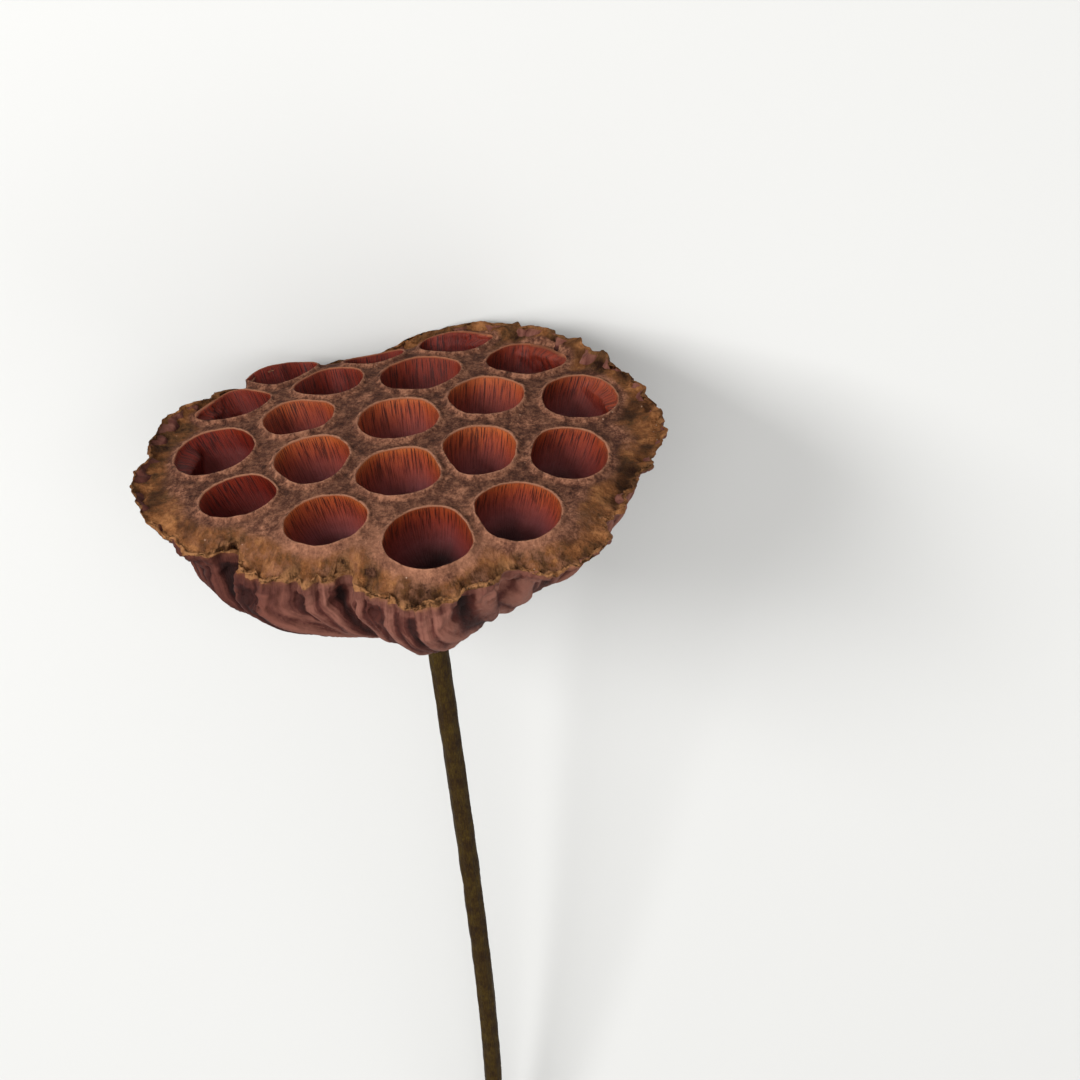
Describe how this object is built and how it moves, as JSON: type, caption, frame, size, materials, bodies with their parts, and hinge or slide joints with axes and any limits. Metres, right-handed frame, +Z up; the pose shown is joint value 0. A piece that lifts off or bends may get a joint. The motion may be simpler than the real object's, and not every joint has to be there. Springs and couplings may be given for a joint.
{
  "type": "dried lotus pod",
  "caption": "Dried lotus pod with a domed face of open seed cells, a ruffled woody rim and a pleated underside, on a cut stem, lying on its side.",
  "frame": {"origin": "on the plane the pod lies on, under the middle of the bounding box", "axes": "+X along the stem towards the pod's face, +Z up, +Y across the pod"},
  "size_m": [0.244, 0.1166, 0.1019],
  "materials": {
    "pod_head": "dry matt pod skin, grey-brown face, red-brown seed cells, tan crusty rim and purplish-brown pleats",
    "stem": "dry olive-brown stem with fine lengthwise ribs"
  },
  "bodies": {
    "root": {"pod_head": "pod_head", "stem": "stem"}
  },
  "joints": []
}
